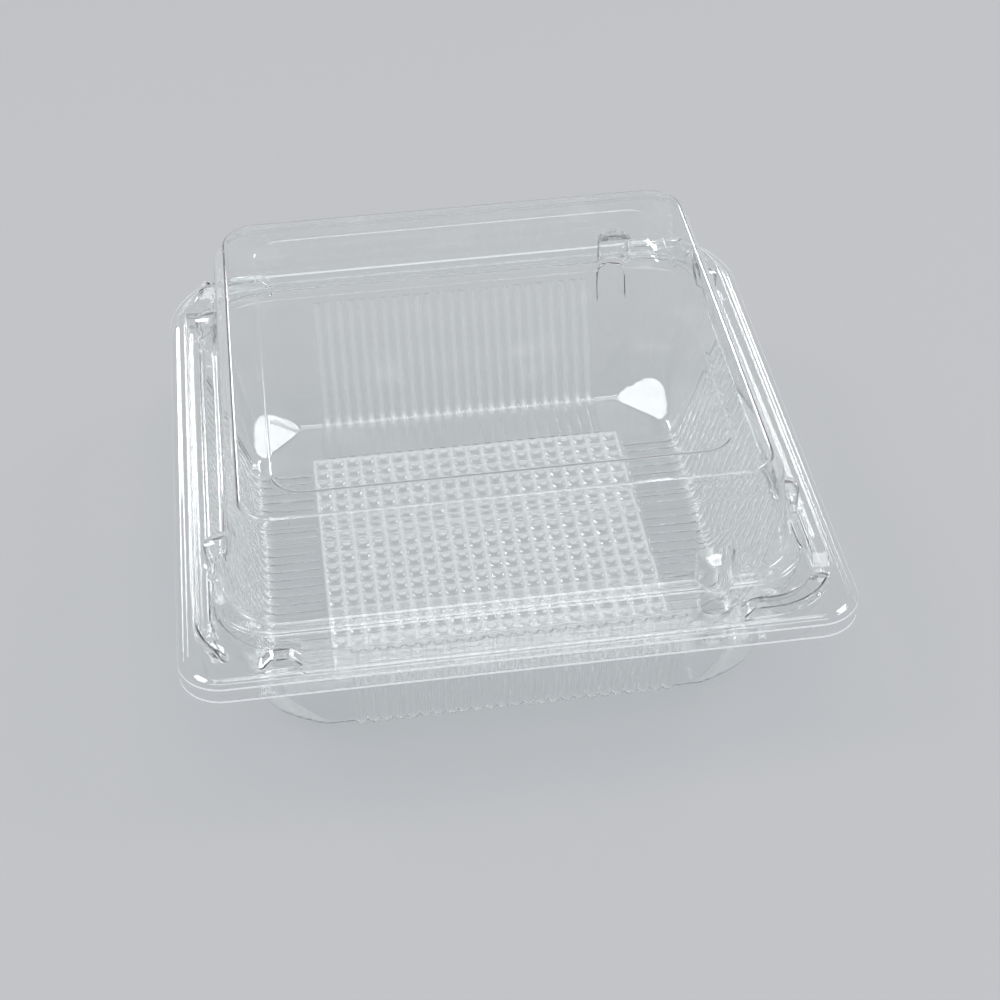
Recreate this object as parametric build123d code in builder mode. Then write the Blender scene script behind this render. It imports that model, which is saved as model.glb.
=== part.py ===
from build123d import *
from math import atan, cos, degrees, radians, sin, sqrt
import os

# Hinged clear clamshell pack, closed, resting on its floor.
# Origin at the middle of the floor, +X right, +Y towards the fold, +Z up.
# The tray, the fold and the lid are one formed sheet.
# The sheet is split into two pieces at the fold, because the lid swings there.

# Formed sheet, and the space between the beads when one sits in the other
sheet = 0.5
nest_clearance = 0.2

# Tray
floor_width = 113.4
floor_corner_radius = 8.5
wall_run = 10.9
tray_flange_level = 37.2
facet_reach = 14.5
facet_lean = 51.0

# Flutes in the middle of each wall, running on over the rim of the floor
flute_pitch = 3.04
flute_width = 2.8
flute_crest_width = 1.3
flute_depth = 0.8
flute_root = 0.1
flute_end_margin = 3.0
flute_top_drop = 1.9

# Waffle in the middle of the floor
waffle_margin = 15.4
waffle_cells = 20
waffle_ridge_width = 4.4

# Flange, measured outward from the mouth of the tray
flange_side_rim = 7.4
flange_front_rim = 12.6
fold_back_rim = 7.6
front_corner_radius = 10.0
back_corner_run = 9.5
back_curve_length = 20.0

# Fold strip at the back
fold_radius = 1.8
fold_sweep = 145.0
fold_gap = 0.6
hinge_behind_curl = 1.0

# Lid, with heights measured from the underside of its flange
lid_gap = 3.1
lid_open_angle = 0.3
rim_lip_width = 1.3
rim_slope_width = 1.1
rim_drop = 0.8
lid_step_corner_radius = 15.0
lid_step_height = 1.7
lid_step_run = 1.2
dome_inset = 3.6
dome_foot_radius = 13.5
dome_wall_run = 2.6
dome_wall_height = 21.9
dome_ledge_run = 2.1
dome_ledge_rise = 2.5
dome_crown_run = 0.7
dome_crown_rise = 2.5
dome_edge_bevel = 0.7
panel_side_margin = 7.6
panel_end_margin = 8.8
panel_corner_radius = 7.0
panel_drop = 0.5

# Snap beads round both sides, measured from the mouth: raised on the tray, channels in the lid
bead_side_offset = 1.4
bead_front_offset = 6.7
bead_back_offset = 2.6
bead_end_inset = 16.8
bead_corner_radius = 14.0
bead_width = 3.5
bead_height = 2.0
bead_flank_angle = 20.0

# Half-round lugs that keep nested packs apart
lug_corner_distance = 23.6
tray_lug_radius = 4.1
tray_lug_height = 8.7
tray_lug_inset = 1.4
lid_lug_radius = 4.4
lid_lug_height = 9.2
lid_lug_inset = 0.7

# Places that follow from the sizes above
floor_level = flute_depth
wall_slope = wall_run / (tray_flange_level - floor_level)
wall_lean = degrees(atan(wall_slope))
tray_mouth_width = floor_width + 2 * wall_run
half_mouth = tray_mouth_width / 2
half_flange = half_mouth + flange_side_rim
flange_front_reach = half_mouth + flange_front_rim
fold_back_reach = half_mouth + fold_back_rim
fold_length = 2 * (half_flange - back_corner_run)
fold_centre_y = fold_back_reach - fold_radius
fold_centre_z = tray_flange_level - sheet + fold_radius
waffle_width = floor_width - 2 * waffle_margin
flute_count = int((waffle_width - 2 * flute_end_margin) / flute_pitch)
flute_top_level = tray_flange_level - flute_top_drop
dome_foot_width = tray_mouth_width - 2 * dome_inset
dome_wall_width = dome_foot_width - 2 * dome_wall_run
dome_ledge_width = dome_wall_width - 2 * dome_ledge_run
dome_top_width = dome_ledge_width - 2 * dome_crown_run
dome_ledge_height = dome_wall_height + dome_ledge_rise
dome_top_height = dome_ledge_height + dome_crown_rise
panel_width = dome_top_width - 2 * panel_side_margin
panel_depth = dome_top_width - 2 * panel_end_margin
lug_offset = half_mouth - lug_corner_distance
tray_lug_y = half_mouth - tray_lug_inset
lid_lug_y = dome_foot_width / 2 - lid_lug_inset
lid_level = tray_flange_level + lid_gap
hinge_y = fold_centre_y + hinge_behind_curl
lid_back_y = hinge_y - fold_gap
tray_plane = Plane.XY.offset(tray_flange_level - sheet)
lid_plane = Plane(
    Location((0, hinge_y, lid_level), (-lid_open_angle, 0, 0)) * Location((0, -hinge_y, 0))
)


def rounded(plane, width, depth, radius):
    """Rounded rectangle centred on the plane's origin."""
    with BuildSketch(plane) as outline:
        RectangleRounded(width, depth, radius)
    return outline.sketch


def flange_blank(plane, back_y, margin=0.0):
    """Flange outline: round front corners, and back corners that run in to the fold."""
    side_x = half_flange - margin
    front_y = margin - flange_front_reach
    radius = front_corner_radius - margin
    with BuildSketch(plane) as blank:
        with BuildLine():
            front = Line((0, front_y), (side_x - radius, front_y))
            corner = TangentArc(front @ 1, (side_x, front_y + radius), tangent=(1, 0))
            side = Line(corner @ 1, (side_x, lid_back_y - back_curve_length))
            curve = TangentArc(side @ 1, (fold_length / 2 - margin, back_y), tangent=(0, 1))
            Line(curve @ 1, (0, back_y))
            mirror(about=Plane.YZ)
        make_face()
    return blank.sketch


def beads(plane, width, height):
    """Both snap beads as solids with sloping flanks."""
    side_x = half_mouth + bead_side_offset
    front_y = -half_mouth - bead_front_offset
    back_y = half_mouth + bead_back_offset
    end_x = half_mouth - bead_end_inset
    turn_x = side_x - bead_corner_radius
    with BuildPart() as pair:
        with BuildSketch(plane):
            with BuildLine():
                front = Line((end_x, front_y), (turn_x, front_y))
                front_turn = TangentArc(front @ 1, (side_x, front_y + bead_corner_radius), tangent=(1, 0))
                side = Line(front_turn @ 1, (side_x, back_y - bead_corner_radius))
                back_turn = TangentArc(side @ 1, (turn_x, back_y), tangent=(0, 1))
                Line(back_turn @ 1, (end_x, back_y))
            trace(line_width=width)
            mirror(about=Plane.YZ)
        extrude(amount=height, taper=bead_flank_angle)
    return pair.part


def lugs(plane, places, radius, height):
    """Upright round lugs at the given places."""
    with BuildPart() as group:
        with BuildSketch(plane):
            with Locations(places):
                Circle(radius)
        extrude(amount=height)
    return group.part


def flute_bank(skin):
    """The flutes of the front wall, side by side, along the rim of the floor and up the wall."""
    run = skin / cos(radians(wall_lean))
    floor_z = floor_level + skin
    foot_y = run - wall_slope * skin - floor_width / 2
    top_y = foot_y - wall_slope * (flute_top_level - floor_z)
    start = (0, -waffle_width / 2, floor_z)
    half_crest = (flute_crest_width - skin) / 2
    half_root = (flute_width - skin) / 2 + flute_root
    outline = []
    for number in range(flute_count):
        middle = (number - (flute_count - 1) / 2) * flute_pitch
        outline.append((middle - half_root, flute_root))
        outline.append((middle - half_crest, -flute_depth))
        outline.append((middle + half_crest, -flute_depth))
        outline.append((middle + half_root, flute_root))
    outline.append((outline[-1][0], sheet))
    outline.append((outline[0][0], sheet))
    with BuildPart() as bank:
        with BuildLine() as path:
            Polyline(start, (0, foot_y, floor_z), (0, top_y, flute_top_level))
        with BuildSketch(Plane(start, x_dir=(1, 0, 0), z_dir=(0, -1, 0))):
            with BuildLine():
                Polyline(outline, close=True)
            make_face()
        sweep(path=path.line, transition=Transition.RIGHT)
    return bank.part


def leaning_plane(bearing, distance, lean, skin):
    """Plane that leans outward from a line at floor level, moved inward by the skin."""
    turn = radians(bearing)
    tilt = radians(lean)
    outward = Vector(cos(turn) * cos(tilt), sin(turn) * cos(tilt), -sin(tilt))
    foot = Vector(cos(turn) * distance, sin(turn) * distance, floor_level)
    return Plane(foot - outward * skin, z_dir=outward)


def tray_form(skin):
    """Solid bowl of the tray: skin 0 gives its outside, skin sheet its inside."""
    low = floor_level + skin
    inset = skin / cos(radians(wall_lean)) - wall_slope * skin
    foot_width = floor_width - 2 * inset
    foot = rounded(Plane.XY.offset(low), foot_width, foot_width, floor_corner_radius - inset)
    pad = rounded(Plane.XY.offset(skin), waffle_width, waffle_width, flute_depth)
    flutes = flute_bank(skin)
    facet_distance = (floor_width - facet_reach) / sqrt(2)
    with BuildPart() as bowl:
        extrude(foot, amount=tray_flange_level - low, taper=-wall_lean)
        for quarter in range(4):
            facet = leaning_plane(45 + 90 * quarter, facet_distance, facet_lean, skin)
            split(bisect_by=facet, keep=Keep.BOTTOM)
        extrude(pad, amount=floor_level)
        with PolarLocations(0, 4):
            add(flutes)
    return bowl.part


def waffle_ridges():
    """Ridges both ways across the middle of the floor, which leave rows of square dimples."""
    pitch = waffle_width / waffle_cells
    half_foot = waffle_ridge_width / 2
    with BuildPart() as grid:
        with BuildSketch(Plane.XZ.offset(-waffle_width / 2)):
            with Locations((0, sheet)):
                with GridLocations(pitch, pitch, waffle_cells - 1, 1):
                    Polygon((-half_foot, 0), (half_foot, 0), (0, flute_depth), align=None)
        rows = extrude(amount=waffle_width)
        add(rows.rotate(Axis.Z, 90))
    return grid.part


def tapered(width, radius, top_width, low, high):
    """Block of the lid with rounded corners that narrows from one height to another."""
    narrowing = degrees(atan((width - top_width) / 2 / (high - low)))
    with BuildPart() as block:
        extrude(rounded(lid_plane.offset(low), width, width, radius), amount=high - low, taper=narrowing)
    return block.part


def lid_form(skin):
    """Solid step and dome of the lid: skin 0 gives the outside, skin sheet the inside."""
    step_foot = tray_mouth_width - 2 * skin
    step_top = step_foot - 2 * lid_step_run
    step = tapered(step_foot, lid_step_corner_radius - skin, step_top, 0, lid_step_height - skin)
    shrink = 1 - skin / dome_top_height
    widths = (dome_foot_width, dome_wall_width, dome_ledge_width, dome_top_width)
    heights = (0, dome_wall_height, dome_ledge_height, dome_top_height)
    radii = [dome_foot_radius - skin - (dome_foot_width - width) / 2 for width in widths]
    panel_plane = lid_plane.offset(dome_top_height - skin)
    panel = rounded(panel_plane, panel_width + skin, panel_depth + skin, panel_corner_radius)
    with BuildPart() as dome:
        for tier in range(3):
            add(tapered(
                widths[tier] - 2 * skin,
                radii[tier],
                widths[tier + 1] - 2 * skin,
                heights[tier] * shrink,
                heights[tier + 1] * shrink,
            ))
        top_face = dome.faces().sort_by(Axis.Z)[-1]
        chamfer(top_face.edges(), length=dome_edge_bevel - skin / 2)
        extrude(panel, amount=-panel_drop, mode=Mode.SUBTRACT)
        add(step)
    return dome.part


# Tray
tray_lug_places = [(lug_offset, -tray_lug_y), (lug_offset, tray_lug_y)]
lug_base = Plane.XY.offset(tray_flange_level - tray_lug_height)

with BuildPart() as base_tray:
    add(tray_form(0))
    extrude(flange_blank(tray_plane, fold_centre_y), amount=sheet)
    add(beads(tray_plane, bead_width + 2 * sheet, bead_height + sheet))
    add(lugs(lug_base, tray_lug_places, tray_lug_radius, tray_lug_height))
    add(tray_form(sheet), mode=Mode.SUBTRACT)
    add(beads(tray_plane, bead_width - 2 * sheet, bead_height), mode=Mode.SUBTRACT)
    add(
        lugs(lug_base.offset(sheet), tray_lug_places, tray_lug_radius - sheet, tray_lug_height),
        mode=Mode.SUBTRACT,
    )
    with BuildSketch(Plane.YZ):
        with BuildLine():
            outer = CenterArc((fold_centre_y, fold_centre_z), fold_radius, -90, fold_sweep)
            inner = CenterArc((fold_centre_y, fold_centre_z), fold_radius - sheet, -90, fold_sweep)
            Line(outer @ 0, inner @ 0)
            Line(outer @ 1, inner @ 1)
        make_face()
    extrude(amount=fold_length / 2, both=True)
    add(waffle_ridges())
base_tray.part.label = "base_tray"

# Lid
lid_lug_places = [
    (lug_offset, -lid_lug_y),
    (lug_offset, lid_lug_y),
    (-lid_lug_y, -lug_offset),
    (-lid_lug_y, lug_offset),
    (lid_lug_y, -lug_offset),
    (lid_lug_y, lug_offset),
]
channel_width = bead_width + 2 * nest_clearance
channel_height = bead_height + nest_clearance
lip_plane = lid_plane.offset(-rim_drop)
rim_lean = degrees(atan(rim_slope_width / (rim_drop + sheet)))
rim_back_y = lid_back_y + rim_slope_width

with BuildPart() as lid:
    extrude(flange_blank(lip_plane, lid_back_y), amount=sheet)
    extrude(flange_blank(lip_plane, rim_back_y, rim_lip_width), amount=rim_drop + sheet, taper=rim_lean)
    split(bisect_by=Plane(lid_plane * Location((0, lid_back_y, 0), (-90, 0, 0))), keep=Keep.BOTTOM)
    add(lid_form(0))
    add(beads(lid_plane.offset(sheet), channel_width + 2 * sheet, channel_height))
    add(lugs(lid_plane, lid_lug_places, lid_lug_radius, lid_lug_height))
    extrude(
        flange_blank(lip_plane, rim_back_y + sheet, rim_lip_width + sheet / 2),
        amount=rim_drop,
        taper=rim_lean,
        mode=Mode.SUBTRACT,
    )
    add(lid_form(sheet), mode=Mode.SUBTRACT)
    add(beads(lid_plane, channel_width, channel_height), mode=Mode.SUBTRACT)
    add(lugs(lid_plane, lid_lug_places, lid_lug_radius - sheet, lid_lug_height - sheet), mode=Mode.SUBTRACT)
lid.part.label = "lid"

os.makedirs("parts", exist_ok=True)
export_step(base_tray.part, "parts/base_tray.step")
export_step(lid.part, "parts/lid.step")
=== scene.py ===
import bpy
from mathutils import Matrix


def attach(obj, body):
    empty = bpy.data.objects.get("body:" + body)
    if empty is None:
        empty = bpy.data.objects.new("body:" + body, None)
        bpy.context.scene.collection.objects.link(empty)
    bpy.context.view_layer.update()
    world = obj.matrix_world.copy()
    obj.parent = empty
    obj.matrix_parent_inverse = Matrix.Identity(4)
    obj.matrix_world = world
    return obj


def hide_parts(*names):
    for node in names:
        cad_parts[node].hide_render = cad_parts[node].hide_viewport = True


bl_info = {
    "name": "Hinged clear food pack",
    "version": (1, 0, 0),
    "blender": (4, 5, 0),
    "location": "3D View > Sidebar > Pack",
    "description": "Forms a hinged clear food pack and sets it on a pale floor",
    "category": "Object",
}

from collections import namedtuple
from math import asin, atan2, cos, hypot, pi, radians, sin, sqrt, tan

import bmesh
import bpy
from mathutils import Matrix, Vector

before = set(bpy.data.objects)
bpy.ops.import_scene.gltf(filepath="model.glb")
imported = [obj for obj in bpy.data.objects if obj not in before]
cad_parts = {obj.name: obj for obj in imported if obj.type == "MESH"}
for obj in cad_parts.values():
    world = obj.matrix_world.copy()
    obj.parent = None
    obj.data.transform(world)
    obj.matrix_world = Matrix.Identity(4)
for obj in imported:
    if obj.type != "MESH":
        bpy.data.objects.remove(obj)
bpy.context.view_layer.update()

MM = 0.001
PHOTO_WIDTH = 1000

# Sides of the pack as they are numbered, anticlockwise from above
FRONT, RIGHT, BACK, LEFT = range(4)

# ---- Sizes in millimetres and degrees, as in the part's source ----

SHEET = 0.5

# Bowl of the tray, by its underside
HALF_FLOOR = 56.7
FLOOR_LEVEL = 0.8
FLOOR_CORNER = 8.5
WALL_SLOPE = 10.9 / 36.4
WALL_NORMAL = 0.958  # outward part of the wall's normal
FLANGE_UNDER = 36.7
FOOT_BEND = 3.0
MOUTH_BEND = 1.3

# Flat facet across each lower corner
FACET_FOOT = 69.93
FACET_LEAN = 51.0
FACET_BEND = 0.8

# Flutes, which round over to their roots and get shallow where they run onto the floor
FLUTE_PITCH = 3.04
FLUTE_TOP = 35.3
FLUTE_CREST_POWER = 2.2
FLUTE_ROOT_POWER = 0.8
FLUTE_ON_FLOOR = 0.4

# Waffle in the middle of the floor
HALF_WAFFLE = 41.3
WAFFLE_GROOVE = 0.3

# Flange, whose back corners sweep in to the fold
HALF_FLANGE = 75.0
FLANGE_FRONT = 80.2
FRONT_CORNER = 10
BACK_CURVE_START = 53.8
BACK_CORNER_X = 65.5

# Fold strip that curls up at the back
FOLD_Y = 73.4
FOLD_RADIUS = 1.8
FOLD_SWEEP = 145.0
FOLD_STEPS = 12

# Middle line of the snap beads, and their sections on the tray and on the lid
Bead = namedtuple("Bead", "half_foot half_top height")
BEAD_SIDE = 69.0
BEAD_FRONT = 74.3
BEAD_BACK = 70.2
BEAD_END = 50.8
BEAD_RADIUS = 14.0
TRAY_BEAD = Bead(1.3, 0.5, 2.0)
LID_BEAD = Bead(2.4, 1.7, 2.2)

# Half-round lugs: middle of the round, its radius, and the sides and ends where they stand.
# The tray's stand above their foot, and the lid's below their top.
Lug = namedtuple("Lug", "centre radius places")
LUG_ALONG = 44.0
TRAY_LUG = Lug(66.2, 4.1, {(FRONT, 1), (BACK, -1)})
LID_LUG = Lug(63.3, 4.4, {(FRONT, 1), (BACK, -1), (RIGHT, 1), (RIGHT, -1), (LEFT, 1), (LEFT, -1)})
TRAY_LUG_FOOT = 28.5
LID_LUG_TOP = 9.15

# Lid, with levels above the underside of its rim
LID_BACK = 73.8
LID_LEVEL = 40.3
LID_TILT = -0.3
HINGE_Y = 74.4
LIP_LEVEL = -0.3
STEP_LEVEL = 1.7
GROOVE_LIFT = 1.2
LEDGE_LEVEL = 24.4
CROWN_LEVEL = 26.9
PANEL_LEVEL = 26.4

# ---- Stage ----

# Lamps by name, azimuth and elevation in degrees, distance and size in metres, and watts.
# The top and front lamps and the back strips draw bright lines along the bends, and the side lamps
# fill the facets.
LAMPS = (
    ("top_lamp", 180, 84, 2.2, (1.8, 1.0), 14.0),
    ("front_lamp", 180, 60, 1.8, (1.2, 0.35), 7.0),
    ("left_lamp", -91, 50, 1.8, (0.58, 0.58), 7.0),
    ("right_lamp", 86, 43, 1.8, (0.58, 0.58), 7.0),
    ("back_left_strip", -37, 17, 1.8, (0.2, 0.8), 4.8),
    ("back_right_strip", 37, 17, 1.8, (0.2, 0.8), 4.8),
)
LAMP_AIM = Vector((0, 0, 30 * MM))


# ---- Colours and materials ----


def linear_colour(hex_colour):
    """Linear RGBA for a six-digit sRGB hex value."""
    channels = [int(hex_colour[i : i + 2], 16) / 255 for i in (0, 2, 4)]
    linear = [c / 12.92 if c <= 0.04045 else ((c + 0.055) / 1.055) ** 2.4 for c in channels]
    return (*linear, 1.0)


def add_node(tree, kind, values=None, in_order=(), **links):
    """Add a node, set its attributes or inputs by name, and feed its inputs in order or by name."""
    node = tree.nodes.new(kind)
    for name, value in (values or {}).items():
        if name in node.inputs:
            node.inputs[name].default_value = value
        else:
            setattr(node, name, value)
    for socket, source in zip(node.inputs, in_order):
        if isinstance(source, bpy.types.NodeSocket):
            tree.links.new(source, socket)
        else:
            socket.default_value = source
    for name, output in links.items():
        tree.links.new(output, node.inputs[name.replace("_", " ")])
    return node


def empty_material(name):
    """A material, its empty node tree and its output node."""
    material = bpy.data.materials.new(name)
    material.use_nodes = True
    tree = material.node_tree
    tree.nodes.clear()
    return material, tree, add_node(tree, "ShaderNodeOutputMaterial")


def let_light_through(tree, surface, output, tint):
    """Light from the lamps, and light on its way from the floor, crosses the thin sheet unbent."""
    passing = add_node(tree, "ShaderNodeBsdfTransparent", {"Color": tint})
    path = add_node(tree, "ShaderNodeLightPath")
    for ray in ("Is Shadow Ray", "Is Diffuse Ray"):
        sources = (path.outputs[ray], surface, passing.outputs["BSDF"])
        surface = add_node(tree, "ShaderNodeMixShader", in_order=sources).outputs["Shader"]
    tree.links.new(surface, output.inputs["Surface"])


def clear_formed_pet(finish):
    """Clear PET sheet, thermoformed: glossy and nearly colourless, with scuffs and hazy bends."""
    material, tree, output = empty_material("clear_formed_pet")
    place = add_node(tree, "ShaderNodeTexCoord")
    # Handling leaves faint hazy scuffs, about 12 mm across
    scuffs = add_node(
        tree,
        "ShaderNodeTexNoise",
        {"Scale": 1 / (12 * MM), "Detail": 1.0},
        Vector=place.outputs["Object"],
    )
    scuffed = add_node(
        tree,
        "ShaderNodeMapRange",
        {"From Min": 0.6, "From Max": 0.8, "To Min": 0.0, "To Max": finish.scuff_haze},
        Value=scuffs.outputs["Fac"],
    )
    # The sheet is a little hazy, which adds up to pale lines where it is seen edge-on
    facing = add_node(tree, "ShaderNodeLayerWeight", {"Blend": 0.5})
    clear_at_edges = add_node(
        tree,
        "ShaderNodeMapRange",
        {"From Min": 0.45, "From Max": 1.0, "To Min": 1.0, "To Max": 1 - finish.edge_haze},
        Value=facing.outputs["Facing"],
    )
    # It is hazier again where the mould drew it over a crest
    stretch = add_node(tree, "ShaderNodeAttribute", {"attribute_name": "stretch"})
    clear_at_crests = add_node(
        tree,
        "ShaderNodeMath",
        {"operation": "MULTIPLY_ADD"},
        (stretch.outputs["Fac"], -finish.crest_haze, clear_at_edges.outputs["Result"]),
    )
    clear = add_node(
        tree,
        "ShaderNodeMath",
        {"operation": "SUBTRACT", "use_clamp": True},
        (clear_at_crests.outputs["Value"], scuffed.outputs["Result"]),
    )
    sheet = add_node(
        tree,
        "ShaderNodeBsdfPrincipled",
        {"Base Color": finish.sheet_colour, "IOR": 1.575, "Roughness": 0.0},
        Transmission_Weight=clear.outputs["Value"],
    )
    let_light_through(tree, sheet.outputs["BSDF"], output, finish.shadow_tint)
    return material


def sheared_pet_edge_painted_glow(finish):
    """Cut edge of the PET sheet: sheared rough, with a painted glow that shows it as a pale line."""
    material, tree, output = empty_material("sheared_pet_edge_painted_glow")
    edge = add_node(
        tree,
        "ShaderNodeBsdfPrincipled",
        {
            "Base Color": finish.edge_and_glow_colour,
            "IOR": 1.575,
            "Roughness": 0.45,
            "Transmission Weight": 0.1,
            # Painted glow: the cut edge emits light, though it is no lamp
            "Emission Color": finish.edge_and_glow_colour,
            "Emission Strength": finish.painted_edge_glow,
        },
    )
    let_light_through(tree, edge.outputs["BSDF"], output, finish.shadow_tint)
    return material


def sheet_finishes(finish):
    """The materials of the sheet's faces and of its cut edge, made once for both pieces."""
    made = bpy.data.materials
    faces = made.get("clear_formed_pet") or clear_formed_pet(finish)
    cut_edge = made.get("sheared_pet_edge_painted_glow") or sheared_pet_edge_painted_glow(finish)
    return faces, cut_edge


def matt_floor_paint(stage):
    """Flat paint, rolled on board: no gloss, with a faint fine grain."""
    material, tree, output = empty_material("matt_floor_paint")
    place = add_node(tree, "ShaderNodeTexCoord")
    # The roller's grain is about 2 mm across
    grain = add_node(
        tree,
        "ShaderNodeTexNoise",
        {"Scale": 1 / (2 * MM), "Detail": 3.0},
        Vector=place.outputs["Object"],
    )
    bump = add_node(
        tree,
        "ShaderNodeBump",
        {"Strength": 0.1, "Distance": 0.1 * MM},
        Height=grain.outputs["Fac"],
    )
    paint = add_node(
        tree,
        "ShaderNodeBsdfPrincipled",
        {"Base Color": stage.floor_colour, "Roughness": 0.9, "Specular IOR Level": 0.1},
        Normal=bump.outputs["Normal"],
    )
    tree.links.new(paint.outputs["BSDF"], output.inputs["Surface"])
    return material


# ---- Rings and columns, which a formed sheet is laid out on ----

# A closed line round the sheet: its reach to each side, its corner radii, its level, how far it is
# lifted along the left and right, and its margin to the cut edge where its back corners sweep in
Ring = namedtuple(
    "Ring", "side front back front_radius back_radius level lift cut", defaults=(0, None)
)

# The lines that cross the rings, the same on each side: their places along it, and their angles
# round its corner. Where a ring's corner starts before the hold, they draw together from inner to
# hold.
Columns = namedtuple("Columns", "along corner_angles inner hold")

# A column at this plus a share stands at that share of the way on from the hold to the corner
BEYOND = 100

# The most of a straight run that a bend at its end may take up
WIDEST_BEND = 0.42

# A bank of flutes: how many there are on a side, and how deep
Flutes = namedtuple("Flutes", "count depth")


def smooth_step(value):
    """0 below 0, 1 above 1, and a smooth rise between."""
    value = min(max(value, 0.0), 1.0)
    return value * value * (3 - 2 * value)


def in_millimetres(length):
    """A length in millimetres, without the rounding of the property that holds it."""
    return round(length / MM, 4)


def square_ring(half_width, radius, level):
    """Ring with the same reach on all four sides."""
    return Ring(half_width, half_width, half_width, radius, radius, level)


def bead_ring(distance, level):
    """Ring that runs beside the middle line of the snap beads."""
    reaches = [reach + distance for reach in (BEAD_SIDE, BEAD_FRONT, BEAD_BACK)]
    return Ring(*reaches, BEAD_RADIUS + distance, BEAD_RADIUS + distance, level)


def blank_ring(margin, back, level):
    """Ring beside the cut edge of the flange."""
    radius = FRONT_CORNER - margin
    return Ring(HALF_FLANGE - margin, FLANGE_FRONT - margin, back, radius, radius, level, cut=margin)


def blended_ring(a, b, share):
    """Ring at a share of the way from a to b."""
    values = [x + (y - x) * share for x, y in zip(a[:-1], b[:-1])]
    return Ring(*values, cut=a.cut if share < 0.5 else b.cut)


def sheet_run(a, b):
    """Length of the sheet from ring a to ring b, on the side where it is longer."""
    rise = b.level - a.level
    return max(hypot(b.side - a.side, rise), hypot(b.front - a.front, rise))


def rounded_profile(rings, bend, steps=3):
    """The same chain of rings with each bend between them rounded over the given length."""
    out = [rings[0]]
    for before, here, after in zip(rings, rings[1:], rings[2:]):
        first, last = (
            blended_ring(here, other, min(bend / sheet_run(here, other), WIDEST_BEND))
            for other in (before, after)
        )
        for step in range(steps + 1):
            share = step / steps
            towards, away = blended_ring(first, here, share), blended_ring(here, last, share)
            out.append(blended_ring(towards, away, share))
    out.append(rings[-1])
    return out


def split_at_levels(rings, levels):
    """The same chain with a ring added at each of these levels."""
    out = [rings[0]]
    for before, after in zip(rings, rings[1:]):
        low, high = before.level, after.level
        for level in sorted(levels, reverse=low > high):
            if min(low, high) < level < max(low, high):
                out.append(blended_ring(before, after, (level - low) / (high - low)))
        out.append(after)
    return out


def side_columns(middle, lug, inner, hold, corner_steps):
    """Columns with those given in the middle, and those of a lug at both ends."""
    # Columns across a lug stand closer together at its edges
    lug_places = [LUG_ALONG - lug.radius * cos(pi * i / 10) for i in range(11)]
    right = lug_places + [hold, BEYOND + 0.5, BEYOND + 1]
    left = [-place for place in reversed(right)]
    angles = [pi / 2 * i / (corner_steps + 1) for i in range(1, corner_steps + 1)]
    return Columns(left + middle + right, angles, inner, hold)


def straight_place(along, start, columns):
    """Where a column of one side stands on a ring whose corner begins at start."""
    size, inner, hold = abs(along), columns.inner, columns.hold
    if size > BEYOND:
        place = hold + (size - BEYOND) * (start - hold) if start > hold else start
    elif start >= hold or size <= inner:
        place = min(size, start)
    else:
        place = inner + (size - inner) * (start - inner) / (hold - inner)
    return place if along > 0 else -place


def swept_corner(ring, share):
    """x and y at a share of the way round the swept right back corner, from its side to its back."""
    inward = ring.side - (BACK_CORNER_X - ring.cut)
    rise = ring.back - BACK_CURVE_START
    radius = (inward**2 + rise**2) / (2 * inward)
    turn = asin(rise / radius) * share
    return ring.side - radius * (1 - cos(turn)), BACK_CURVE_START + radius * sin(turn)


def ring_points(ring, columns):
    """(side, along, outward, level) of each column on one ring, anticlockwise from the front."""
    reach = (ring.front, ring.side, ring.back, ring.side)
    radii = (ring.front_radius, ring.back_radius, ring.back_radius, ring.front_radius)
    points = []
    for side in range(4):
        next_reach, radius = reach[(side + 1) % 4], radii[side]
        far = next_reach - radius
        near = reach[side - 1] - radii[side - 1]
        if ring.cut is not None:
            far = (far, BACK_CURVE_START, BACK_CORNER_X, far)[side]
            near = (near, near, BACK_CORNER_X, BACK_CURVE_START)[side]
        for along in columns.along:
            place = straight_place(along, far if along > 0 else near, columns)
            points.append((side, place, reach[side], ring.level))
        for angle in columns.corner_angles:
            if ring.cut is not None and side in (RIGHT, BACK):
                share = angle / (pi / 2)
                x, y = swept_corner(ring, share if side == RIGHT else 1 - share)
                along, outward = (y, x) if side == RIGHT else (x, y)
            else:
                along = next_reach - radius + radius * sin(angle)
                outward = reach[side] - radius + radius * cos(angle)
            points.append((side, along, outward, ring.level))
    return points


def to_frame(side, along, outward):
    """x and y of a point given along and outward from one side."""
    return ((along, -outward), (outward, along), (-along, outward), (-outward, -along))[side]


def ring_normals(rings):
    """Outward normal of the profile at each ring, as (outward, upward)."""
    normals = []
    for i in range(len(rings)):
        before, after = rings[max(i - 1, 0)], rings[min(i + 1, len(rings) - 1)]
        run, rise = after.front - before.front, after.level - before.level
        length = hypot(run, rise) or 1
        normals.append((rise / length, -run / length))
    return normals


def lug_outward(side, along, lug):
    """How far out a half-round lug stands at this place, or 0 where there is none."""
    reach = lug.radius**2 - (abs(along) - LUG_ALONG) ** 2
    stands = (side, 1 if along > 0 else -1) in lug.places and reach > 0
    return lug.centre + sqrt(reach) if stands else 0.0


def bead_rise(x, y, bead):
    """Height of the snap bead's section at this place on the flange."""
    half_x = BEAD_SIDE - BEAD_RADIUS
    half_y = (BEAD_FRONT + BEAD_BACK) / 2 - BEAD_RADIUS
    over_x = abs(x) - half_x
    over_y = abs(y - (BEAD_BACK - BEAD_FRONT) / 2) - half_y
    outside, inside = hypot(max(over_x, 0), max(over_y, 0)), min(max(over_x, over_y), 0)
    off_line = outside + inside - BEAD_RADIUS
    beyond_end = max(BEAD_END - abs(x), 0) if over_y > over_x else 0
    distance = hypot(off_line, beyond_end)
    return bead.height * smooth_step((bead.half_foot - distance) / (bead.half_foot - bead.half_top))


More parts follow.
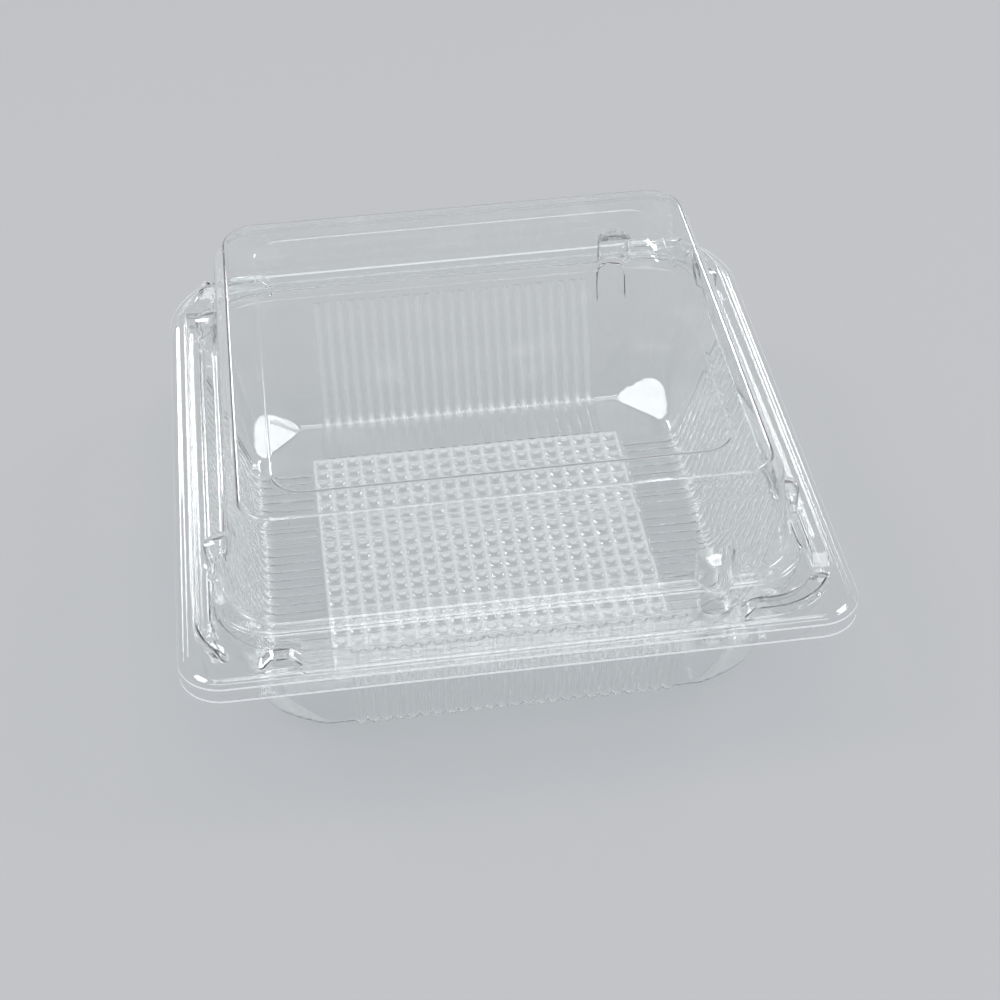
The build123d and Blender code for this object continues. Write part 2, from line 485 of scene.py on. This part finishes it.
def sheet_mesh(name, rows, closing):
    """Piece in metres from rows of (x, y, z, stretch), each joined to the next as a closed band."""
    mesh = bpy.data.meshes.new(name)
    bm = bmesh.new()
    stretch = bm.verts.layers.float.new("stretch")
    table = [[bm.verts.new((x * MM, y * MM, z * MM)) for x, y, z, _ in row] for row in rows]
    for row, vertices in zip(rows, table):
        for point, vertex in zip(row, vertices):
            vertex[stretch] = point[3]
    for near, far in zip(table, table[1:]):
        count = len(near)
        for i in range(count):
            j = (i + 1) % count
            bm.faces.new((near[i], near[j], far[j], far[i]))
    closing(bm, table)
    bmesh.ops.remove_doubles(bm, verts=bm.verts, dist=0.004 * MM)
    bmesh.ops.dissolve_degenerate(bm, edges=bm.edges, dist=0.002 * MM)
    for face in bm.faces:
        face.smooth = True
    # The cut edge is shaded on its own, so that it stays apart from the faces beside it
    for edge in bm.edges:
        edge.smooth = not edge.is_boundary
    bm.to_mesh(mesh)
    bm.free()
    piece = bpy.data.objects.new(name, mesh)
    bpy.context.scene.collection.objects.link(piece)
    return piece


def thicken(piece, thickness, faces, cut_edge):
    """Give the sheet its thickness on the inner side, even shading and its materials."""
    solid = piece.modifiers.new("thickness", "SOLIDIFY")
    solid.thickness = thickness
    solid.offset = -1
    solid.material_offset_rim = 1
    normals = piece.modifiers.new("shading", "WEIGHTED_NORMAL")
    normals.keep_sharp = True
    piece.data.materials.append(faces)
    piece.data.materials.append(cut_edge)


# ---- Tray ----


def flute_places(flutes):
    """Places along a side that the columns of its flutes stand at, closer at the roots."""
    return [
        (i + share) * FLUTE_PITCH - flutes.count * FLUTE_PITCH / 2
        for i in range(flutes.count)
        for share in (0, 0.12, 0.3, 0.5, 0.7, 0.88)
    ] + [flutes.count * FLUTE_PITCH / 2]


def flute_bulge(along, flutes):
    """Outward bulge of the rounded flutes at this place along a side."""
    half_bank = FLUTE_PITCH * flutes.count / 2
    if abs(along) > half_bank:
        return 0.0
    across = (along + half_bank) % FLUTE_PITCH / FLUTE_PITCH * 2 - 1
    return flutes.depth * (1 - abs(across) ** FLUTE_CREST_POWER) ** FLUTE_ROOT_POWER


def facet_cut(along, outward, level):
    """How far in the flat facet across a lower corner takes this point of the wall."""
    reach = FACET_FOOT + tan(radians(FACET_LEAN)) * (level - FLOOR_LEVEL)
    over = (abs(along) + outward) / sqrt(2) - reach
    if over < -FACET_BEND:
        return 0
    return over if over > FACET_BEND else (over + FACET_BEND) ** 2 / (4 * FACET_BEND)


def tray_rings():
    """Rings of the tray's underside, from the edge of the waffle out to the edge of the flange."""
    wall_top = HALF_FLOOR + WALL_SLOPE * (FLANGE_UNDER - FLOOR_LEVEL)
    starts = [square_ring(HALF_WAFFLE + offset, 0.5, FLOOR_LEVEL) for offset in (0.5, 0.9, 1.4)]
    foot = square_ring(HALF_FLOOR, FLOOR_CORNER, FLOOR_LEVEL)
    mouth = square_ring(wall_top, FLOOR_CORNER + wall_top - HALF_FLOOR, FLANGE_UNDER)
    bead_foot = bead_ring(-TRAY_BEAD.half_foot, FLANGE_UNDER)
    bowl = rounded_profile([starts[-1], foot, mouth], FOOT_BEND, 6)[:-1]
    bowl += rounded_profile([foot, mouth, bead_foot], MOUTH_BEND)[1:]
    # Rings for the facets and flutes, the feet of the lugs, and the tops of the flutes
    levels = (3, 4.2, 5.4, 6.6, 7.8, 9, 10.5, 12, 28.3, 28.6, 34.6, 35.0, FLUTE_TOP)
    bowl = split_at_levels(bowl, levels)
    beads = [bead_ring(d, FLANGE_UNDER) for d in (-1.05, -0.8, -0.5, 0, 0.5, 0.8, 1.05, 1.3)]
    edge = [blank_ring(margin, FOLD_Y, FLANGE_UNDER) for margin in (1.2, 0)]
    return starts[:-1] + bowl + beads + edge


def tray_point(side, along, outward, level, normal, flutes):
    """Place of one point of the tray's underside, with facets, flutes, lugs and beads."""
    cut = facet_cut(along, outward, level)
    if cut > 0 and level < FLANGE_UNDER - 1:
        outward -= cut / sqrt(2)
        along -= cut / sqrt(2) * (1 if along > 0 else -1)
    # Flutes rise from beside the waffle and fade out just below the mouth
    inside = smooth_step((outward - HALF_WAFFLE - 0.5) / 0.9) * smooth_step((FLUTE_TOP - level) / 0.7)
    upright = FLUTE_ON_FLOOR + (1 - FLUTE_ON_FLOOR) * smooth_step(normal[0])
    bulge = flute_bulge(along, flutes) * inside * upright
    outward += bulge * normal[0]
    level += bulge * normal[1]
    if level > TRAY_LUG_FOOT:
        outward = max(outward, lug_outward(side, along, TRAY_LUG))
    x, y = to_frame(side, along, outward)
    if outward > BEAD_SIDE - 1.5 and level > FLANGE_UNDER - 0.3:
        level += bead_rise(x, y, TRAY_BEAD)
    # Crests are stretched, and most of all round the foot bend
    foot = 1 - abs(2 * min(normal[0] / WALL_NORMAL, 1) - 1)
    return x, y, level, (bulge / flutes.depth) ** 3 * (1 + 2 * foot)


def waffle_level(x, y, cells):
    """Height of the underside in the waffle: each cell dips to the table, the lines stand up."""
    depth = 1.0
    for place in (x, y):
        share = (place + HALF_WAFFLE) / (2 * HALF_WAFFLE) * cells % 1
        depth *= smooth_step(min(share, 1 - share) / WAFFLE_GROOVE)
    return FLOOR_LEVEL * (1 - depth)


def fill_waffle(bm, surround, cells):
    """Fill the loop in the middle of the floor with the waffle."""
    width = 2 * HALF_WAFFLE / cells
    shares = (0, 0.14, 0.3, 0.5, 0.7, 0.86)
    places = [(i + share) * width - HALF_WAFFLE for i in range(cells) for share in shares]
    places.append(HALF_WAFFLE)
    stretch = bm.verts.layers.float["stretch"]
    grid = [
        [bm.verts.new((x * MM, y * MM, waffle_level(x, y, cells) * MM)) for x in places]
        for y in places
    ]
    for row in grid:
        for vertex in row:
            vertex[stretch] = (vertex.co.z / (FLOOR_LEVEL * MM)) ** 3
    for low, high in zip(grid, grid[1:]):
        for i in range(len(places) - 1):
            bm.faces.new((low[i], high[i], high[i + 1], low[i + 1]))
    front, right = grid[0][:-1], [row[-1] for row in grid[:-1]]
    back, left = grid[-1][:0:-1], [row[0] for row in grid[:0:-1]]
    join_loops(bm, front + right + back + left, surround)


def join_loops(bm, inner, outer):
    """Band of triangles between two closed loops round the origin."""

    def turn(vertex):
        return (atan2(vertex.co.y, vertex.co.x) + 3 * pi / 4) % (2 * pi)

    def next_turn(loop, i):
        # Closing a loop comes after a full turn, and a closed loop waits for the other
        if i + 1 < len(loop):
            return turn(loop[i + 1])
        return 7 if i < len(loop) else 9

    inner, outer = sorted(inner, key=turn), sorted(outer, key=turn)
    i = j = 0
    while i < len(inner) or j < len(outer):
        a, b = inner[i % len(inner)], outer[j % len(outer)]
        if next_turn(inner, i) <= next_turn(outer, j):
            i += 1
            bm.faces.new((a, inner[i % len(inner)], b))
        else:
            j += 1
            bm.faces.new((a, outer[j % len(outer)], b))


def curl_fold_strip(bm, rim):
    """Add the strip that sweeps up and over from the straight back of the rim."""
    row = [vertex for vertex in rim if abs(vertex.co.y - FOLD_Y * MM) < 0.01 * MM]
    row.sort(key=lambda vertex: -vertex.co.x)
    for step in range(1, FOLD_STEPS + 1):
        turn = radians(FOLD_SWEEP) * step / FOLD_STEPS
        y = (FOLD_Y + FOLD_RADIUS * sin(turn)) * MM
        z = (FLANGE_UNDER + FOLD_RADIUS * (1 - cos(turn))) * MM
        new_row = [bm.verts.new((vertex.co.x, y, z)) for vertex in row]
        for i in range(len(row) - 1):
            bm.faces.new((row[i], row[i + 1], new_row[i + 1], new_row[i]))
        row = new_row


# ---- Lid ----


def lid_rings():
    """Rings of the lid's upper side, from the cut edge in to the panel on top."""
    lip = [
        blank_ring(0, LID_BACK, LIP_LEVEL),
        blank_ring(1.3, LID_BACK, LIP_LEVEL),
        blank_ring(2.4, LID_BACK, SHEET),
    ]
    channel = [bead_ring(d, SHEET) for d in (2.5, 2.25, 2.0, 1.75, 1.5, 0, -1.5, -1.75)]
    groove = Ring(66.8, 71.85, 67.75, 11.6, 11.6, SHEET, GROOVE_LIFT)
    # The step, the dome's wall, its ledge, its crown and the sunk panel
    profile = [
        Ring(66.7, 67.25, 67.25, 14.6, 14.6, SHEET, GROOVE_LIFT),
        square_ring(66.4, 13.8, STEP_LEVEL),
        square_ring(63.8, 13.3, STEP_LEVEL),
        square_ring(61.4, 10.9, 21.9),
        square_ring(59.3, 8.8, LEDGE_LEVEL),
        square_ring(58.6, 8.1, CROWN_LEVEL),
        Ring(51.3, 50.1, 50.1, 7.3, 7.3, CROWN_LEVEL),
        Ring(50.7, 49.5, 49.5, 6.7, 6.7, PANEL_LEVEL),
        Ring(48.0, 46.8, 46.8, 4.5, 4.5, PANEL_LEVEL),
    ]
    dome = split_at_levels(rounded_profile(profile, 0.9), (3.5, 6, 9.0, 9.3, 14))
    return rounded_profile(lip + [channel[0]], 0.3, 2) + channel[1:] + [groove] + dome


def lid_point(side, along, outward, level, ring):
    """Place of one point of the lid's upper side, with lugs and bead channels, in the tilted lid."""
    # The lip slopes down all round, except along the fold
    if ring.cut is not None and side == BACK and abs(along) <= BACK_CORNER_X - ring.cut + 0.01:
        level = max(level, SHEET)
    if level < LID_LUG_TOP:
        outward = max(outward, lug_outward(side, along, LID_LUG))
    x, y = to_frame(side, along, outward)
    # Along the left and right the step runs straight into the bead's channel
    level += ring.lift * (1 - smooth_step((abs(y) - 54) / 8))
    if outward > BEAD_SIDE - 2.5 and ring.cut is None:
        level = max(level, SHEET + bead_rise(x, y, LID_BEAD))
    tilt, reach = radians(LID_TILT), y - HINGE_Y
    y = HINGE_Y + reach * cos(tilt) - level * sin(tilt)
    z = LID_LEVEL + reach * sin(tilt) + level * cos(tilt)
    return x, y, z, 0.0


def fill_panel(bm, table):
    """Fill the panel on top."""
    bm.faces.new(table[-1])


# ---- Floor, lamps, room and camera ----


def lay_floor(stage):
    """Square matt floor under the pack."""
    half = stage.floor_width / 2
    mesh = bpy.data.meshes.new("floor")
    corners = [(-half, -half, 0), (half, -half, 0), (half, half, 0), (-half, half, 0)]
    mesh.from_pydata(corners, [], [(0, 1, 2, 3)])
    mesh.materials.append(matt_floor_paint(stage))
    floor = bpy.data.objects.new("floor", mesh)
    bpy.context.scene.collection.objects.link(floor)


def soft_lamp(name, azimuth, elevation, distance, size, power):
    """Area lamp on a sphere round the pack, turned to the middle of it."""
    data = bpy.data.lights.new(name, "AREA")
    data.shape = "RECTANGLE"
    data.size, data.size_y = size
    data.energy = power
    lamp = bpy.data.objects.new(name, data)
    bpy.context.scene.collection.objects.link(lamp)
    az, el = radians(azimuth), radians(elevation)
    away = Vector((sin(az) * cos(el), cos(az) * cos(el), sin(el)))
    lamp.location = LAMP_AIM + away * distance
    lamp.rotation_euler = away.to_track_quat("Z", "Y").to_euler()


def light_room(scene, stage):
    """Room that looks brighter in the sheet and behind it than it lights the floor."""
    world = bpy.data.worlds.new("soft_room")
    world.use_nodes = True
    tree = world.node_tree
    path = add_node(tree, "ShaderNodeLightPath")
    strength = add_node(
        tree,
        "ShaderNodeMapRange",
        {"To Min": stage.room_seen, "To Max": stage.room_light},
        Value=path.outputs["Is Diffuse Ray"],
    )
    background = tree.nodes["Background"]
    background.inputs["Color"].default_value = stage.room_colour
    tree.links.new(strength.outputs["Result"], background.inputs["Strength"])
    scene.world = world


def place_camera(scene, stage):
    """Camera that looks at the target as the photograph does."""
    az, el = stage.azimuth, stage.elevation
    forward = Vector((sin(az) * cos(el), cos(az) * cos(el), -sin(el)))
    level = Vector((cos(az), -sin(az), 0))
    upright = level.cross(forward)
    right = cos(stage.roll) * level + sin(stage.roll) * upright
    up = cos(stage.roll) * upright - sin(stage.roll) * level
    data = bpy.data.cameras.new("camera")
    data.sensor_fit = "HORIZONTAL"
    data.lens = stage.focal_pixels * data.sensor_width / PHOTO_WIDTH
    data.clip_start = 0.01
    camera = bpy.data.objects.new("camera", data)
    scene.collection.objects.link(camera)
    place = Vector(stage.target) - forward * stage.distance
    turn = Matrix((right, up, -forward)).transposed().to_4x4()
    camera.matrix_world = Matrix.Translation(place) @ turn
    scene.camera = camera


# ---- Settings shown in the sidebar ----


class PackFormSettings(bpy.types.PropertyGroup):
    thickness: bpy.props.FloatProperty(
        name="Sheet thickness",
        description="Thickness of the formed sheet",
        default=SHEET * MM,
        min=0.2 * MM,
        max=0.8 * MM,
        precision=5,
        unit="LENGTH",
    )
    flute_depth: bpy.props.FloatProperty(
        name="Flute depth",
        description="How far the flutes stand out from the tray's walls",
        default=0.8 * MM,
        min=0.1 * MM,
        max=1.2 * MM,
        precision=5,
        unit="LENGTH",
    )
    flute_count: bpy.props.IntProperty(
        name="Flutes", description="Flutes on each wall of the tray", default=25, min=1, max=26
    )
    waffle_cells: bpy.props.IntProperty(
        name="Waffle cells",
        description="Cells of the waffle along each side",
        default=20,
        min=4,
        max=30,
    )


class PackFinishSettings(bpy.types.PropertyGroup):
    sheet_colour: bpy.props.FloatVectorProperty(
        name="Sheet colour",
        description="Tint of the clear sheet",
        default=linear_colour("FCFDFD"),
        size=4,
        min=0,
        max=1,
        subtype="COLOR",
    )
    # Also the colour of the painted glow on the cut edges
    edge_and_glow_colour: bpy.props.FloatVectorProperty(
        name="Edge colour",
        description="Colour of the cut edges",
        default=linear_colour("F4F6F8"),
        size=4,
        min=0,
        max=1,
        subtype="COLOR",
    )
    shadow_tint: bpy.props.FloatVectorProperty(
        name="Shadow tint",
        description="Colour of the light that the sheet lets through",
        default=linear_colour("FAFBFB"),
        size=4,
        min=0,
        max=1,
        subtype="COLOR",
    )
    scuff_haze: bpy.props.FloatProperty(
        name="Scuff haze",
        description="Share of light that scuffs scatter",
        default=0.04,
        min=0,
        max=1,
        subtype="FACTOR",
    )
    edge_haze: bpy.props.FloatProperty(
        name="Edge-on haze",
        description="Share of light the sheet scatters where it is seen edge-on",
        default=0.35,
        min=0,
        max=1,
        subtype="FACTOR",
    )
    crest_haze: bpy.props.FloatProperty(
        name="Crest haze",
        description="Share of light the sheet scatters on its crests",
        default=0.31,
        min=0,
        max=1,
        subtype="FACTOR",
    )
    # Painted glow of the cut edges, which emit light though they are no lamp
    painted_edge_glow: bpy.props.FloatProperty(
        name="Edge glow",
        description="Light that runs inside the sheet and leaves at its cut edge",
        default=0.28,
        min=0,
    )


class PackStageSettings(bpy.types.PropertyGroup):
    floor_colour: bpy.props.FloatVectorProperty(
        name="Floor colour",
        description="Colour of the floor",
        default=linear_colour("B8B9BC"),
        size=4,
        min=0,
        max=1,
        subtype="COLOR",
    )
    floor_width: bpy.props.FloatProperty(
        name="Floor width", description="Side of the square floor", default=4.0, unit="LENGTH"
    )
    room_colour: bpy.props.FloatVectorProperty(
        name="Room colour",
        description="Colour of the room round the floor",
        default=linear_colour("F3F5F7"),
        size=4,
        min=0,
        max=1,
        subtype="COLOR",
    )
    room_light: bpy.props.FloatProperty(
        name="Room light", description="How strongly the room lights the floor", default=0.36, min=0
    )
    room_seen: bpy.props.FloatProperty(
        name="Room seen",
        description="How bright the room looks in the sheet and behind it, where 1 is white",
        default=0.6,
        min=0,
    )
    azimuth: bpy.props.FloatProperty(
        name="Azimuth",
        description="Direction of view, clockwise from +Y",
        default=radians(6.771),
        subtype="ANGLE",
    )
    elevation: bpy.props.FloatProperty(
        name="Elevation",
        description="How far the camera looks down",
        default=radians(40.511),
        subtype="ANGLE",
    )
    roll: bpy.props.FloatProperty(
        name="Roll",
        description="Turn of the camera about its own axis",
        default=radians(-1.412),
        subtype="ANGLE",
    )
    distance: bpy.props.FloatProperty(
        name="Distance",
        description="From the camera to its target",
        default=494.82 * MM,
        unit="LENGTH",
    )
    target: bpy.props.FloatVectorProperty(
        name="Target",
        description="Point in the middle of the view",
        default=(2.32 * MM, -15.48 * MM, 30 * MM),
        unit="LENGTH",
    )
    focal_pixels: bpy.props.FloatProperty(
        name="Focal length",
        description="Focal length in pixels of the square photograph",
        default=2042.8,
        min=1,
    )


# ---- Operators and panel ----


class PACK_OT_form_tray(bpy.types.Operator):
    """Form the tray with its flutes, waffle, beads and fold strip"""

    bl_idname = "pack.form_tray"
    bl_label = "Form the tray"

    def execute(self, context):
        form = context.scene.pack_form
        flutes = Flutes(form.flute_count, in_millimetres(form.flute_depth))
        half_bank = FLUTE_PITCH * flutes.count / 2
        columns = side_columns(
            flute_places(flutes), TRAY_LUG, inner=half_bank, hold=48.2, corner_steps=10
        )
        rings = tray_rings()
        rows = [
            [tray_point(*point, normal, flutes) for point in ring_points(ring, columns)]
            for ring, normal in zip(rings, ring_normals(rings))
        ]

        def close_tray(bm, table):
            fill_waffle(bm, table[0], form.waffle_cells)
            curl_fold_strip(bm, table[-1])

        tray = sheet_mesh("formed_tray", rows, close_tray)
        thicken(tray, form.thickness, *sheet_finishes(context.scene.pack_finish))
        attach(tray, "base")
        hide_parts("base_tray")
        return {"FINISHED"}


class PACK_OT_form_lid(bpy.types.Operator):
    """Form the lid with its rim, bead channels, step, dome, panel and lugs"""

    bl_idname = "pack.form_lid"
    bl_label = "Form the lid"

    def execute(self, context):
        middle = [i * 6.0 for i in range(-5, 6)]
        columns = side_columns(middle, LID_LUG, inner=39.0, hold=50.5, corner_steps=12)
        rows = [
            [lid_point(*point, ring) for point in ring_points(ring, columns)] for ring in lid_rings()
        ]
        lid = sheet_mesh("formed_lid", rows, fill_panel)
        thicken(lid, context.scene.pack_form.thickness, *sheet_finishes(context.scene.pack_finish))
        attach(lid, "lid")
        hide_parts("lid")
        return {"FINISHED"}


class PACK_OT_set_stage(bpy.types.Operator):
    """Lay the floor and set the lamps, the room and the camera"""

    bl_idname = "pack.set_stage"
    bl_label = "Set the stage"

    def execute(self, context):
        scene = context.scene
        stage = scene.pack_stage
        lay_floor(stage)
        for lamp in LAMPS:
            soft_lamp(*lamp)
        light_room(scene, stage)
        place_camera(scene, stage)
        scene.view_settings.view_transform = "Standard"
        # Light crosses many layers of sheet on its way to the floor, and needs few turns after it
        scene.cycles.max_bounces = 18
        scene.cycles.diffuse_bounces = 2
        scene.cycles.glossy_bounces = 6
        scene.cycles.transmission_bounces = 18
        scene.cycles.transparent_max_bounces = 18
        return {"FINISHED"}


class PACK_PT_sidebar(bpy.types.Panel):
    """Sizes, colours and steps of the pack"""

    bl_idname = "PACK_PT_sidebar"
    bl_label = "Pack"
    bl_space_type = "VIEW_3D"
    bl_region_type = "UI"
    bl_category = "Pack"

    def draw(self, context):
        scene = context.scene
        for group in (scene.pack_form, scene.pack_finish, scene.pack_stage):
            box = self.layout.box()
            for name in group.__annotations__:
                box.prop(group, name)
        for step in STEPS:
            self.layout.operator(step.bl_idname)


STEPS = (PACK_OT_form_tray, PACK_OT_form_lid, PACK_OT_set_stage)
CLASSES = (PackFormSettings, PackFinishSettings, PackStageSettings, *STEPS, PACK_PT_sidebar)


def register():
    for cls in CLASSES:
        bpy.utils.register_class(cls)
    bpy.types.Scene.pack_form = bpy.props.PointerProperty(type=PackFormSettings)
    bpy.types.Scene.pack_finish = bpy.props.PointerProperty(type=PackFinishSettings)
    bpy.types.Scene.pack_stage = bpy.props.PointerProperty(type=PackStageSettings)


def unregister():
    del bpy.types.Scene.pack_stage
    del bpy.types.Scene.pack_finish
    del bpy.types.Scene.pack_form
    for cls in reversed(CLASSES):
        bpy.utils.unregister_class(cls)


def main():
    register()
    bpy.ops.pack.form_tray()
    bpy.ops.pack.form_lid()
    bpy.ops.pack.set_stage()


if __name__ == "__main__":
    main()
